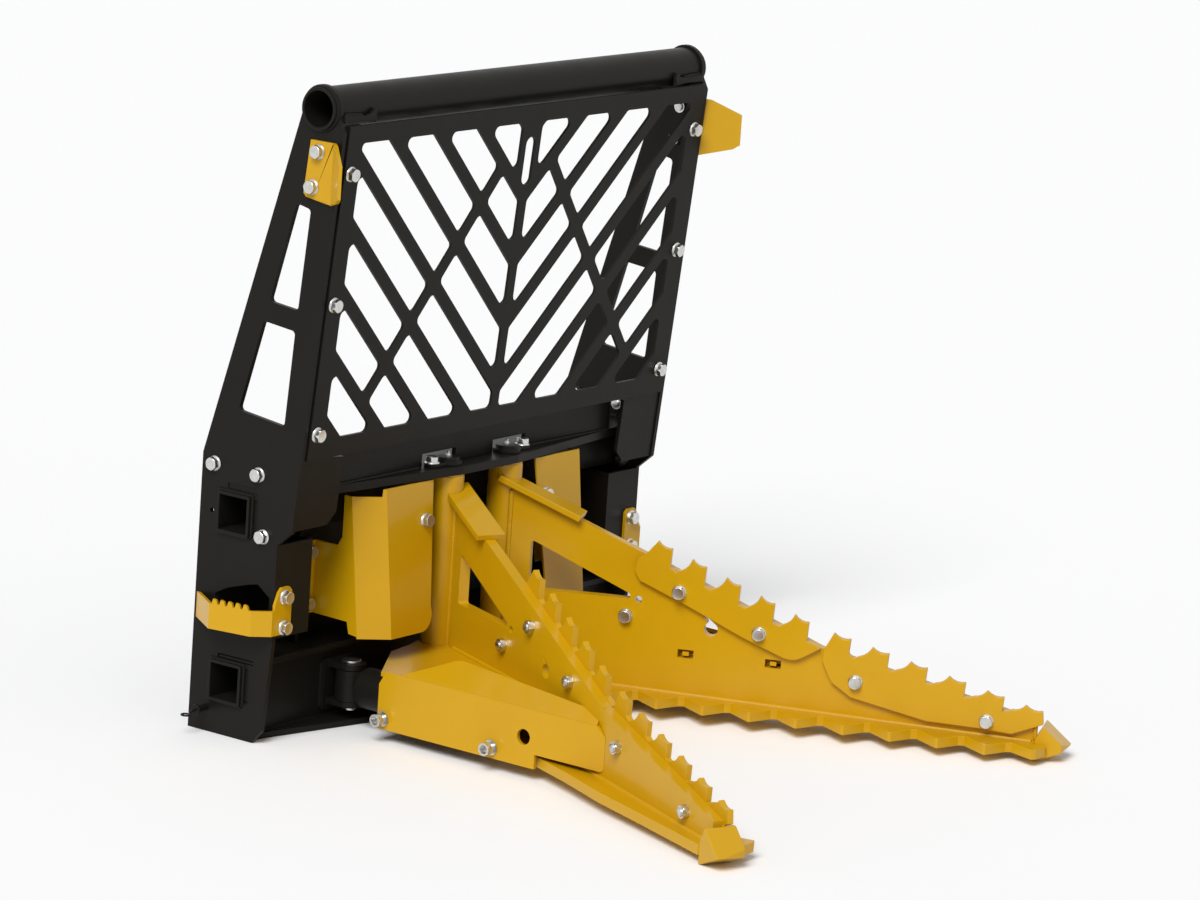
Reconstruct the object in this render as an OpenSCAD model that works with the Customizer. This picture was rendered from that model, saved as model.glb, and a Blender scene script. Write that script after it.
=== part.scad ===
// Tree puller: a welded carrier with a laser-cut guard, and two toothed jaws that swing on
// upright pins and are closed by one hydraulic cylinder each.
// X runs across, +Y points to the carrying machine, -Y to the jaws' tips, +Z is up.
// The origin lies on the base plate's underside, in the middle, under the cross tubes' axis.
// Left is the side of -X, right the side of +X. The jaws are drawn open, at their stops.

/* [Carrier] */
// Overall width over the tube ends
frame_w = 1168; // [1100:2:1240]
// How far a tube end stands out of its side plate
tube_stub = 10; // [4:1:16]
// Thickness of a side plate
side_t = 10; // [8:1:14]
// Y of a side plate's upright rear edge
side_rear_y = 88; // [84:1:100]
// Height at which a side plate's rear edge bends forward
side_bend_z = 538; // [520:1:560]
// Y of a side plate's front edge below the guard
side_front_y = -105; // [-112:1:-100]
// Outside size of the square cross tubes
cross_s = 80; // [76:1:84]
// Wall of the square cross tubes
cross_wall = 6; // [4:1:10]
// Height of the lower cross tube's axis
lower_tube_z = 105; // [100:1:112]
// Height of the upper cross tube's axis
upper_tube_z = 433; // [428:1:438]
// Outside radius of the round top tube
top_tube_r = 40; // [36:1:42]
// Wall of the round top tube
top_tube_wall = 6; // [4:1:10]
// Y of the top tube's axis
top_tube_y = -155; // [-158:1:-150]
// Height of the top tube's axis
top_tube_z = 1225; // [1225:1:1245]
// Thickness of the base plate
base_t = 12; // [10:1:14]
// Thickness of the upper pivot plate
pivot_plate_t = 16; // [12:1:20]
// Thickness of the deck and the two web plates
web_t = 12; // [10:1:14]
// Y of the blunt nose of the two pivot plates
nose_y = -160; // [-166:1:-158]

/* [Guard] */
// Thickness of the guard panel
guard_t = 6; // [5:1:8]
// Angle by which the guard leans forward
guard_lean = 5.3; // [4.5:0.1:6]
// Height of the guard's lower edge
guard_z = 559; // [556:1:566]
// Height of the top tube's axis above the guard's upper edge
guard_gap = 27; // [26:1:40]
// Width of the guard's side borders
guard_border = 42; // [40:1:50]
// Width of the trunk bar and of the two bars beside the tree; a chevron bar is 3 wider
bar_w = 23; // [18:1:28]
// Distance from one chevron bar to the next, along the trunk bar
bar_pitch = 127.5; // [118:0.5:134]
// Slope of the chevron bars
bar_angle = 44; // [40:1:48]
// Corner radius of the guard's windows
window_r = 12; // [4:0.5:14]

/* [Jaws] */
// Distance of a jaw's pivot from the middle
pivot_x = 93; // [90:1:98]
// Y of the jaws' pivots
pivot_y = -125; // [-128:1:-122]
// Angle of an open jaw to the Y axis
open_a = 24.8; // [24:0.1:26]
// Angle between a jaw's rib and its cylinder cover
cover_a = 24.8; // [24:0.1:25.5]
// Outside radius of a jaw's pivot tube
jaw_tube_r = 34; // [32:0.5:36]
// Radius of a pivot pin
pivot_pin_r = 22; // [18:0.5:23]
// Thickness of a jaw's upright rib
rib_t = 22; // [16:1:24]
// Thickness of the toothed blades
blade_t = 12; // [10:1:16]
// Thickness of the gripping plate under a jaw
grip_t = 20; // [16:1:22]
// Height of the gripping plate's underside
grip_z = 15; // [15:1:18]
// Height of the underside of a jaw's top plate
jaw_top_z = 125; // [123:1:128]
// Thickness of a jaw's top plate
jaw_top_t = 8; // [6:1:10]
// Thickness of the folded cylinder cover
cover_t = 8; // [5:1:10]
// Distance between two teeth of the rear blade, along the jaw
rear_pitch = 70; // [68:0.5:71]
// Distance between two teeth of the front blade, along the jaw
front_pitch = 77; // [74:0.5:77.5]
// Angle by which the gripping plate rises toward the pivot
grip_rise = 1.05; // [0.8:0.05:1.2]
// Distance between two teeth of the gripping plate
grip_pitch = 93; // [88:1:98]
// Depth of the gripping plate's teeth
grip_depth = 48; // [40:1:52]

/* [Cylinders] */
// Outside radius of a cylinder barrel
barrel_r = 40; // [36:1:41]
// Wall of a cylinder barrel
barrel_wall = 8; // [6:1:10]
// Radius of a piston rod
rod_r = 19; // [15:0.5:22]
// Radius of the pin at a cylinder's base
base_pin_r = 12.5; // [10:0.5:14]
// Radius of the pin at a rod's eye
rod_pin_r = 15; // [12:0.5:16]
// Play around the rod pin, which frees the linkage there
eye_play = 3; // [2.8:0.1:4]

/* [Steps and deflectors] */
// How far a step strap stands out of its side plate
step_out = 54; // [44:1:60]
// Thickness of the step strap
step_t = 6; // [5:1:8]
// Height of the teeth on a step
step_tooth = 10; // [8:1:14]
// Thickness of the deflectors
deflector_t = 6; // [4:1:8]
// Length of a deflector's wing
wing_l = 86; // [76:1:95]
// Thickness of the yellow hose shields
shield_t = 4; // [3:0.5:6]

/* [Fasteners] */
// Radius of a bolt's shank
bolt_r = 8; // [6:0.5:9]
// Radius of a bolt's flange washer
washer_r = 15; // [14:0.5:16]

/* [Hidden] */
$fn = 64;
black = "#33322E";
yellow = "#C4920A";
zinc = "#C9C8C4";
steel = "#A7A7A4";
oxide = "#4B4A46";
// Clearance of pieces that are fitted or welded together
fit = 0.3;
// Radial clearance of a pin in its bush
run = 0.05;
bolt_hole_r = bolt_r + 0.8;
washer_t = 3;
hex_t = 10;
nut_t = 12;
hex_r = washer_r * 0.92;

side_out = frame_w / 2 - tube_stub;
side_in = side_out - side_t;
inner_x = side_in - fit;
tube_front = -cross_s / 2;
tube_rear = cross_s / 2;
upper_top = upper_tube_z + cross_s / 2;
upper_bottom = upper_tube_z - cross_s / 2;
lower_top = lower_tube_z + cross_s / 2;
pivot_top = upper_top + pivot_plate_t;
web_front = tube_front - web_t;
deck_top = lower_top + web_t;
slot_h = 10;
upper_slot_z = pivot_top - slot_h;
deck_slot_z = deck_top - slot_h + 2;
side_top_r = top_tube_r + 5;
flange_bottom = upper_bottom + 28;
flange_t = 8;
guard_h = (top_tube_z - guard_gap - guard_z) / cos(guard_lean);
// Angle through which a jaw closes
jaw_travel = 24;

// Y of a side plate's leaning front edge at height z
function front_y(z) = -152 - tan(guard_lean) * (z - guard_z);
function unit(v) = v / norm(v);
// Points from a to b, without b, bowed by sag to the left of the way
function bow(a, b, sag, n = 5) = let (d = unit(b - a), side = [-d[1], d[0]])
  [for (i = [0:n - 1]) let (t = i / n) a + (b - a) * t + side * sag * 4 * t * (1 - t)];
// The part of a convex polygon p on which the product with n is at most d
function clip(p, n, d) = len(p) < 3 ? [] : [for (i = [0:len(p) - 1])
  let (a = p[i], b = p[(i + 1) % len(p)], da = a * n - d, db = b * n - d)
  each (da <= 0 ? (db <= 0 ? [b] : [a + (b - a) * da / (da - db)])
    : (db <= 0 ? [a + (b - a) * da / (da - db), b] : []))];
function clip_all(p, cuts, i = 0) =
  i == len(cuts) ? p : clip_all(clip(p, cuts[i][0], cuts[i][1]), cuts, i + 1);
function area(p) = abs(sum([for (i = [0:len(p) - 1])
  cross(p[i], p[(i + 1) % len(p)])])) / 2;
function sum(v, i = 0) = i >= len(v) ? 0 : v[i] + sum(v, i + 1);

function left_of(a, b) = let (d = unit(b - a)) [-d[1], d[0]];
// A path moved sideways by d, with its corners mitred
function beside(path, d) = let (k = len(path) - 1) [for (i = [0:k])
  let (m = left_of(path[max(i - 1, 0)], path[max(i, 1)])
    + left_of(path[min(i, k - 1)], path[min(i + 1, k)])) path[i] + m * d * 2 / (m * m)];
function back(v) = [for (i = [len(v) - 1:-1:0]) v[i]];
// Leaves out a corner that falls on the next one
function tidy(p) = [for (i = [0:len(p) - 1]) if (norm(p[i] - p[(i + 1) % len(p)]) > 7) p[i]];

// A bent strip of thickness t, to the left of its path
module strip(path, t) {
  polygon(concat(path, back(beside(path, t))));
}

module left() {
  mirror([1, 0, 0]) children();
}

// A convex outline with round corners
module soft_corners(p, r_max) {
  k = len(p);
  half = [for (i = [0:k - 1])
    acos(unit(p[(i + k - 1) % k] - p[i]) * unit(p[(i + 1) % k] - p[i])) / 2];
  r = min(r_max, 0.95 * min([for (i = [0:k - 1]) norm(p[(i + 1) % k] - p[i])
    / (1 / tan(half[i]) + 1 / tan(half[(i + 1) % k]))]));
  corner = [for (i = [0:k - 1]) let (b = p[i], u = unit(p[(i + k - 1) % k] - b),
    w = unit(p[(i + 1) % k] - b), h = half[i])
    [-u, w, b + unit(u + w) * r / sin(h), 180 - 2 * h]];
  // Each corner is an arc about c[2], which turns by the angle c[3] in even steps
  steps = 5;
  polygon([for (c = corner) let (turn = sign(cross(c[0], c[1])), a0 = atan2(c[0][1], c[0][0])
    - 90 * turn) for (i = [0:steps]) let (a = a0 + turn * c[3] * i / steps)
    c[2] + r * [cos(a), sin(a)]]);
}

// A plate in the YZ plane of the right side, from x0 outward, drawn as [y, z]
module upright(x0, t) {
  translate([x0, 0, 0]) rotate([90, 0, 90]) linear_extrude(t) children();
}

// A screw along +Z with its flange on z = 0 and a shank of the given length under it
module screw(shank) {
  cylinder(r = washer_r, h = washer_t);
  translate([0, 0, washer_t]) cylinder(r = hex_r, h = hex_t, $fn = 6);
  translate([0, 0, -shank]) cylinder(r = bolt_r, h = shank + 1);
}

// The same with a nut under a grip of the given length
module bolt(grip) {
  screw(grip + nut_t + 4);
  translate([0, 0, -grip - nut_t]) cylinder(r = hex_r, h = nut_t, $fn = 6);
}

module bolt_bore(depth) {
  translate([0, 0, -depth]) cylinder(r = bolt_hole_r, h = 2 * depth);
}

// Side plates

side_holes = [[58, side_bend_z - 18], [-51, side_bend_z - 21], [-69, 401]];
wing_z = top_tube_z - 175;
wing_h = 116;
deflector_y = front_y(wing_z + wing_h / 2) + 9;
deflector_holes = [[deflector_y + 36, wing_z + wing_h - 20], [deflector_y + 46, wing_z + 29]];
window_top_z = top_tube_z - 183;
window_low_z = side_bend_z + 94;
window_bar = 39;

module side_outline() {
  polygon([[side_rear_y + 4, 0], [side_rear_y, side_bend_z],
    [top_tube_y + side_top_r, top_tube_z - 10], [top_tube_y, top_tube_z],
    [top_tube_y - 35, top_tube_z], [front_y(top_tube_z - 38), top_tube_z - 38],
    [front_y(flange_bottom), flange_bottom], [side_front_y, flange_bottom - 30],
    [side_front_y, 197], [side_front_y + 15, 27], [side_front_y + 37, 0]]);
  translate([top_tube_y, top_tube_z]) circle(side_top_r);
}

module side_windows() {
  rear = (side_rear_y - top_tube_y - side_top_r) / (top_tube_z - 10 - side_bend_z);
  function rear_edge(z) = side_rear_y - rear * (z - side_bend_z) - 52;
  function front_edge(z) = front_y(z) + 54;
  a = window_low_z;
  b = a + (window_top_z - a) * 0.482 - window_bar / 2;
  c = b + window_bar;
  d = window_top_z;
  soft_corners([[rear_edge(d) + 4, d], [front_edge(d - 7), d - 7], [front_edge(c - 7), c - 7],
    [rear_edge(c), c]], 8);
  soft_corners([[rear_edge(b), b], [front_edge(b - 8), b - 8],
    [front_edge(a - 13) - 3, a - 13], [rear_edge(a) - 2, a]], 8);
}

module foothold() {
  polygon([[40, 237], [40, 272], [12, 287], [-40, 303], [-63, 308], [-93, 287], [-93, 237]]);
}

module side_plate() {
  color(black) upright(side_in, side_t) difference() {
    side_outline();
    side_windows();
    foothold();
    for (z = [lower_tube_z, upper_tube_z]) translate([0, z])
      square(cross_s + 2 * fit, center = true);
    translate([top_tube_y, top_tube_z]) circle(top_tube_r + fit);
    translate([-50, upper_slot_z - 0.5]) square([72, slot_h + 1]);
    translate([-62, deck_slot_z - 0.5]) square([88, slot_h - 1]);
    translate([web_front - 0.5, upper_bottom + 1]) square([web_t + 1, cross_s - 8]);
    translate([web_front - 0.5, lower_top - 72]) square([web_t + 1, 66]);
    for (p = concat(side_holes, deflector_holes)) translate(p) circle(bolt_hole_r);
    translate([59, 429]) circle(5);
    translate([49, 46]) circle(6.6);
  }
}

// Tubes

module top_tube() {
  color(black) translate([-frame_w / 2, top_tube_y, top_tube_z]) rotate([0, 90, 0])
    difference() {
      cylinder(r = top_tube_r, h = frame_w);
      translate([0, 0, -1]) cylinder(r = top_tube_r - top_tube_wall, h = frame_w + 2);
    }
}

module cross_tube(z) {
  color(black) translate([-frame_w / 2, 0, z]) rotate([90, 0, 90])
    linear_extrude(frame_w) difference() {
      soft_corners([[-1, -1], [1, -1], [1, 1], [-1, 1]] * cross_s / 2, 5);
      square(cross_s - 2 * cross_wall, center = true);
    }
}

// Plates that carry the pivots, and the box of webs around the cross tubes

module at_pivots() {
  for (s = [-1, 1]) translate([s * pivot_x, pivot_y]) children();
}

module upper_pivot_plate() {
  color(black) difference() {
    translate([0, 0, upper_top]) linear_extrude(pivot_plate_t) difference() {
      union() {
        polygon([[-87, nose_y], [87, nose_y], [inner_x, nose_y + 57], [inner_x, tube_rear],
          [-inner_x, tube_rear], [-inner_x, nose_y + 57]]);
        for (s = [-1, 1]) translate([s * (inner_x + 3.7), -14])
          square([10, 70], center = true);
      }
      at_pivots() circle(pivot_pin_r + run);
      for (s = [-1, 1]) translate([s * (pivot_x + keeper_x), pivot_y]) circle(bolt_hole_r);
    }
    for (s = [-1, 1]) translate([s * (side_in + side_t / 2), -14, upper_slot_z - 5])
      cube([side_t + 2 * fit, 90, 10], center = true);
  }
}

module web(z0, z1, tab0, tab1) {
  color(black) translate([0, tube_front, 0]) rotate([90, 0, 0]) linear_extrude(web_t)
    union() {
      translate([-inner_x, z0]) square([2 * inner_x, z1 - z0]);
      translate([-side_out + 2, tab0]) square([2 * side_out - 4, tab1 - tab0]);
    }
}

module upper_web() {
  web(upper_bottom, upper_top, upper_bottom + 2, upper_top - 8);
}

module lower_web() {
  web(base_t, lower_top, lower_top - 71, lower_top - 7);
}

module lower_deck() {
  color(black) translate([0, 0, lower_top]) difference() {
    linear_extrude(web_t) union() {
      translate([-inner_x, -66]) square([2 * inner_x, 66 + tube_rear]);
      translate([-side_out + 2, -61]) square([2 * side_out - 4, 86]);
    }
    for (s = [-1, 1]) translate([s * (side_in + side_t / 2), -14, 0]) {
      translate([0, 0, deck_slot_z - lower_top - 5]) cube([side_t + 2 * fit, 100, 10],
        center = true);
      translate([0, 0, web_t + 3]) cube([side_t + 2 * fit, 100, 10], center = true);
    }
  }
}

module base_plate() {
  color(black) linear_extrude(base_t) difference() {
    polygon([[-60, nose_y - 8], [60, nose_y - 8], [271, -122], [532, -62], [inner_x, -60],
      [inner_x, tube_rear], [-inner_x, tube_rear], [-inner_x, -60], [-532, -62],
      [-271, -122]]);
    at_pivots() circle(pivot_pin_r + run);
  }
}

foot_w = 119;
header_y = -106;
header_w = 2 * (inner_x - foot_w) - 2;

// An upright plate that closes the space under the guard, with a stay behind it
module header_plate() {
  h = guard_z - 7 - pivot_top;
  keeper_room = 8 + washer_t + hex_t + 5;
  color(black) {
    translate([0, header_y, pivot_top]) rotate([90, 0, 0]) linear_extrude(10) difference() {
      translate([-header_w / 2, 0]) square([header_w, h]);
      for (s = [0, 1]) mirror([s, 0]) translate([pivot_x - pivot_pin_r - 12, -1])
        square([pivot_pin_r + keeper_x + 32, keeper_room + 1]);
    }
    translate([-132, header_y - 0.01, pivot_top + keeper_room + 2]) cube([70, 40, 24]);
    for (s = [-1, 1]) translate([s * (header_w / 2 - 60) - 4, header_y - 0.01, pivot_top])
      cube([8, 60, h - 14]);
  }
}

// Guard: a panel between the side plates, bolted to two leaning flanges

guard_w = side_in - 4;
guard_bolt_x = guard_w - 19;
guard_bolt_v = [50, guard_h / 2 - 20, guard_h - 91];
lift_slot = [29, 66];
lift_slot_v = guard_h - 111;

// Places a drawing [x, v] on the plane that lies w behind the guard's front face
module on_guard(w, t) {
  translate([0, front_y(guard_z) - 3, guard_z]) rotate([guard_lean, 0, 0])
    translate([0, w + t, 0]) rotate([90, 0, 0]) linear_extrude(t) children();
}

module guard_holes() {
  for (s = [-1, 1], v = guard_bolt_v) translate([s * guard_bolt_x, v]) circle(bolt_hole_r);
}

tree_a = 51.9;
slope = tan(bar_angle);
tree_slope = tan(tree_a);
bar_v = 360;
bar_rise = (bar_w + 3) / cos(bar_angle);
tree_in_v = guard_h - 35;
tree_out_v = tree_in_v + bar_w / cos(tree_a);
trunk_x = bar_w / 2;
window_bottom = 37;
window_top = guard_h - 34;
// The windows of one half lie between a chevron bar's top and the next bar's underside
function band(k, low, high, x0) = clip_all(
  [[x0, window_bottom], [guard_w - guard_border, window_bottom],
    [guard_w - guard_border, window_top], [x0, window_top]],
  [[[slope, -1], -low + slope * trunk_x], [[-slope, 1], high - slope * trunk_x]]);
function band_low(k) = bar_v + k * bar_pitch;
function band_high(k) = bar_v + (k + 1) * bar_pitch - bar_rise;
// Below and above the two tree-side bars, which slant from the top down to the corners
function under_tree(p) = clip(p, [tree_slope, 1], tree_in_v);
function over_tree(p) = clip(p, [-tree_slope, -1], -tree_out_v);
half_windows = concat(
  [band(1, band_low(1), band_high(1), lift_slot[0] + 1)],
  [for (k = [-5:0]) under_tree(band(k, band_low(k), band_high(k), trunk_x))],
  [for (k = [-5:0]) over_tree(band(k, band_low(k), band_high(k), trunk_x))],
  [for (k = [-8:-6]) band(k, band_low(k), band_high(k), trunk_x)]);

module guard_panel() {
  color(black) on_guard(0, guard_t) difference() {
    translate([-guard_w, 0]) square([2 * guard_w, guard_h]);
    for (s = [0, 1], p = half_windows) if (len(p) > 2 && area(p) > 1500)
      mirror([s, 0]) soft_corners(tidy(p), window_r);
    translate([0, lift_slot_v]) {
      square(lift_slot, center = true);
      for (s = [-1, 1]) translate([0, s * lift_slot[1] / 2]) circle(lift_slot[0] / 2);
    }
    guard_holes();
  }
}

module guard_flange() {
  v0 = (flange_bottom - guard_z) / cos(guard_lean);
  color(black) on_guard(guard_t, flange_t) difference() {
    polygon([[inner_x, v0], [inner_x, guard_h], [guard_w - 38, guard_h], [guard_w - 38, 2],
      [inner_x - foot_w, -6], [inner_x - foot_w, v0 + 24], [inner_x - foot_w + 24, v0]]);
    guard_holes();
  }
}

// Rear plate by which the machine's coupler takes the tool

attach_gap = 24;
attach_w = 2 * inner_x;
attach_t = 10;
attach_z = 14;
lock_x = 394;
lock_r = 13;
lock_slot = 60;
hook_z = 425;

module attach_plate() {
  y0 = tube_rear;
  color(black) difference() {
    translate([attach_w / 2, 0, 0]) rotate([90, 0, -90]) linear_extrude(attach_w)
      polygon([[-y0 - attach_t - 42, attach_z], [-y0, attach_z], [-y0, hook_z + 4],
        [-y0 - 32, hook_z + 36], [-y0 - 39, hook_z + 29], [-y0 - attach_t, hook_z],
        [-y0 - attach_t, attach_z + attach_t], [-y0 - attach_t - 42, attach_z + attach_t]]);
    for (s = [-1, 1]) translate([s * lock_x, y0 + attach_t + 20, attach_z - 1])
      linear_extrude(attach_t + 2) union() {
        square([lock_slot - 2 * lock_r, 2 * lock_r], center = true);
        for (e = [-1, 1]) translate([e * (lock_slot / 2 - lock_r), 0]) circle(lock_r);
      }
    translate([0, y0 + attach_t / 2, 270]) cube([110, attach_t + 2, 80], center = true);
    // The lower corners leave room for the latch pin
    for (s = [-1, 1]) translate([s * side_in, y0 + 30, 0])
      cube([2 * attach_gap, 80, 180], center = true);
  }
}

// Short strips that run inward from the side plates in front of the top tube

module corner_gusset() {
  translate([0, top_tube_y - top_tube_r - 0.5, top_tube_z]) rotate([90, 0, 0])
    linear_extrude(8) polygon([[inner_x, -23], [inner_x, -8], [inner_x - 62, -12],
      [inner_x - 78, -8], [inner_x - 88, 1], [inner_x - 93, -12], [inner_x - 90, -27],
      [inner_x - 62, -23]]);
}

module corner_gussets() {
  color(black) {
    corner_gusset();
    left() corner_gusset();
  }
}

// Inner gussets and brackets that carry the shields

shield_x = 356;
shield_back_y = -20;
shield_flange = 33;
shield_fold_y = -102;
shield_front_y = -147;
shield_in_x = 172;
shield_top = upper_top - 18;
shield_bottom = 181;
shield_wing_z = [212, 355];
shield_side_bolts = [[shield_x + 17, 335], [shield_x + 17, 232]];
shield_front_bolt = [190, 395];
shield_lean = 6.5;
// Y of the shield's front face at height z
function shield_y(z) = shield_front_y / cos(shield_lean) - tan(shield_lean) * (shield_top - z);

// A plate between deck and upper tube, with a strip behind the shield's rear flange
module inner_gusset() {
  flange_y = shield_back_y + shield_t;
  difference() {
    union() {
      translate([shield_x + shield_flange, flange_y, deck_top])
        cube([8, tube_rear - flange_y, upper_bottom - deck_top]);
      translate([shield_x, flange_y, 205]) cube([shield_flange + 4, 8, 158]);
    }
    for (p = shield_side_bolts) translate([p[0], flange_y + 4, p[1]]) rotate([90, 0, 0])
      bolt_bore(10);
  }
}

// A bent sheet that closes the room behind a foothold and takes the step's front end
module foot_box() {
  difference() {
    translate([0, 0, step_z - 8]) linear_extrude(upper_bottom - 3 - step_z + 8)
      strip([[inner_x, side_front_y], [side_in - box_w, side_front_y],
        [side_in - box_w, tube_rear - fit]], -box_t);
    for (z = step_bolt_z) translate([step_bolt_x, side_front_y, z]) rotate([90, 0, 0])
      bolt_bore(box_t + 1);
  }
}

module gusset_and_box() {
  inner_gusset();
  foot_box();
}

module inner_gussets() {
  color(black) {
    gusset_and_box();
    left() gusset_and_box();
  }
}

// A hanger under the pivot plate whose foot backs the shield's inner edge
module shield_bracket() {
  b = shield_front_bolt;
  difference() {
    translate([0, shield_y(b[1]) + shield_t / cos(shield_lean), b[1]])
      rotate([-shield_lean, 0, 0]) translate([b[0] - 16, 0, -20]) cube([32, 8, 160]);
    translate([0, -300, upper_top]) cube([400, 300, 200]);
    shield_front_bore();
  }
}

module shield_front_bore() {
  b = shield_front_bolt;
  translate([b[0], shield_y(b[1]), b[1]]) rotate([90 - shield_lean, 0, 0]) bolt_bore(40);
}

module shield_brackets() {
  color(black) {
    shield_bracket();
    left() shield_bracket();
  }
}

// Folded hose shield: a rear flange, an upright side, a slanting face and a front face
module shield() {
  t = shield_t;
  folded = [[shield_x, shield_fold_y], [shield_x - 50, shield_front_y],
    [shield_in_x - 40, shield_front_y]];
  color(yellow) difference() {
    union() {
      intersection() {
        translate([0, 0, shield_top]) rotate([-shield_lean, 0, 0])
          translate([0, 0, -310]) linear_extrude(340) strip(folded, -t);
        upright(shield_in_x - 14, 320) polygon([[-250, shield_bottom], [-90, shield_bottom],
          [-90, shield_top], [shield_front_y + 5, shield_top],
          [shield_front_y + 5, shield_top + 15], [-shield_top, shield_top + 15]]);
      }
      upright(shield_x - t, t) polygon([[shield_back_y, shield_wing_z[1]],
        [-75, shield_wing_z[1]], [-85, shield_wing_z[1] + 18], [-85, shield_top],
        [shield_fold_y - 1, shield_top],
        [shield_fold_y - 1 - tan(shield_lean) * 270, shield_top - 270], [-113, 187],
        [-107, shield_wing_z[0] - 2], [shield_back_y, shield_wing_z[0]]]);
      translate([shield_x - t, shield_back_y, shield_wing_z[0]])
        cube([shield_flange + t, t, shield_wing_z[1] - shield_wing_z[0]]);
    }
    // The front face's free edge slants, and its lower corner is round
    translate([0, 0, 0]) rotate([90, 0, 0]) linear_extrude(300) difference() {
      polygon([[0, 0], [shield_in_x + 42, 0], [shield_in_x + 42, shield_bottom],
        [shield_in_x + 12, shield_bottom + 30], [shield_in_x - 11, shield_top + 30],
        [0, shield_top + 30]]);
      translate([shield_in_x + 42, shield_bottom + 34]) circle(34);
    }
    for (p = shield_side_bolts) translate([p[0], shield_back_y, p[1]]) rotate([90, 0, 0])
      bolt_bore(20);
    shield_front_bore();
  }
}

// Steps: a toothed strap bent around each side plate

step_z = 217;
step_top = 266;
tab_top = 308;
box_t = 8;
box_w = 95;
step_bolt_x = side_out - 25;
step_bolt_z = [230, 289];
step_path = [[side_out, side_rear_y - 2], [side_out + step_out, 8],
  [side_out + step_out - 14, -84], [side_out + 10, side_front_y - step_t],
  [step_bolt_x - 20, side_front_y - step_t]];

module step_strap() {
  a = step_path[1];
  b = step_path[2];
  teeth = 5;
  color(yellow) difference() {
    union() {
      translate([0, 0, step_z]) linear_extrude(step_top - step_z) strip(step_path, -step_t);
      translate([0, side_front_y, 0]) rotate([90, 0, 0]) linear_extrude(step_t)
        polygon([[step_bolt_x - 20, step_z], [side_out + 3, step_z], [side_out + 3, step_top + 10],
          [step_bolt_x + 18, tab_top - 8], [step_bolt_x + 10, tab_top],
          [step_bolt_x - 12, tab_top], [step_bolt_x - 20, tab_top - 8]]);
      translate([a[0], a[1], step_top])
        rotate([0, 0, atan2(b[1] - a[1], b[0] - a[0])]) translate([0, -0.2, 0])
          rotate([90, 0, 0]) linear_extrude(step_t - 0.4)
            for (i = [0:teeth - 1]) translate([5 + i * 17, 0])
              polygon([[0, -1], [0, 0], [3, step_tooth], [10, step_tooth * 0.8], [13, 0],
                [13, -1]]);
    }
    upright(side_out - 60, 60) translate([0, -20]) square([side_rear_y + 20, 400]);
    for (z = step_bolt_z) translate([step_bolt_x, side_front_y, z]) rotate([90, 0, 0])
      bolt_bore(40);
  }
}

// Deflectors: a flange on the side plate and a wing bent outward and forward

module deflector() {
  color(yellow) difference() {
    union() {
      upright(side_out, deflector_t) polygon([[deflector_y + 56, wing_z + wing_h],
        [deflector_y + 67, wing_z + 16], [deflector_y + 61, wing_z + 9],
        [deflector_y, wing_z], [deflector_y, wing_z + wing_h]]);
      translate([side_out, deflector_y, wing_z]) rotate([0, 0, -48])
        translate([0, deflector_t, 0]) rotate([90, 0, 0]) linear_extrude(deflector_t)
          polygon([[0, 0], [0, wing_h], [23, wing_h - 2], [wing_l, wing_h - 30],
            [wing_l, 25], [wing_l - 14, 16]]);
    }
    for (p = deflector_holes) translate([side_out, p[0], p[1]]) rotate([0, 90, 0])
      bolt_bore(30);
  }
}

// Jaws. A jaw is drawn with s running out along its rib and p outward, across the rib

rib_p1 = -6;
rib_p0 = rib_p1 - rib_t;
blade_p0 = rib_p0 - blade_t;
rib_end = 1092;
flange_h = 3;
axial_play = 0.5;
tube_z0 = base_t + axial_play + flange_h;
tube_z1 = upper_top - axial_play - flange_h;
bush_wall = 4;
jaw_bore_r = pivot_pin_r + run + bush_wall;
tube_clear = jaw_tube_r + fit;
closed_a = open_a - jaw_travel;
// What is left between the two jaws' teeth when the jaws are shut
grip_gap = 3;
// Heights of the gripping plate's underside and top at s
function grip_low(s) = grip_z + (rib_end - s) * tan(grip_rise);
function grip_top(s) = grip_low(s) + grip_t / cos(grip_rise);
rod_at = [225, -345];
base_at = [318, -95];
rod_at_sp = [rod_at[0] * sin(cover_a) - rod_at[1] * cos(cover_a),
  rod_at[0] * cos(cover_a) + rod_at[1] * sin(cover_a)];

module on_jaw() {
  translate([pivot_x, pivot_y, 0]) rotate([0, 0, open_a - 90]) children();
}

// The same place, turned so that the cylinder cover is parallel to Y on the open jaw
module on_cover() {
  translate([pivot_x, pivot_y, 0]) rotate([0, 0, open_a - cover_a]) children();
}

// A plate along the jaw between p0 and p1, drawn as [s, z]
module along_jaw(p0, p1) {
  on_jaw() translate([0, p1, 0]) rotate([90, 0, 0]) linear_extrude(p1 - p0) children();
}

module tube_room() {
  translate([pivot_x, pivot_y, -1]) cylinder(r = tube_clear, h = 600);
}

module jaw_tube() {
  color(black) translate([pivot_x, pivot_y, tube_z0]) difference() {
    cylinder(r = jaw_tube_r, h = tube_z1 - tube_z0);
    translate([0, 0, -1]) cylinder(r = jaw_bore_r, h = 600);
  }
}

module bushing(len) {
  difference() {
    union() {
      cylinder(r = jaw_bore_r - 0.02, h = len);
      translate([0, 0, -flange_h]) cylinder(r = jaw_tube_r - 1, h = flange_h);
    }
    translate([0, 0, -flange_h - 1]) cylinder(r = pivot_pin_r + run, h = len + 60);
  }
}

module jaw_bushings() {
  color("#8C7A3C") translate([pivot_x, pivot_y, 0]) {
    translate([0, 0, tube_z0]) bushing(60);
    translate([0, 0, tube_z1]) mirror([0, 0, 1]) bushing(60);
  }
}

rib_slot_s = [391, 566];
jaw_bolt_at = [[372, 254], [536, 189], [733, 115], [995, 67]];
rib_bolt_at = [[266, 192]];

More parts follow.
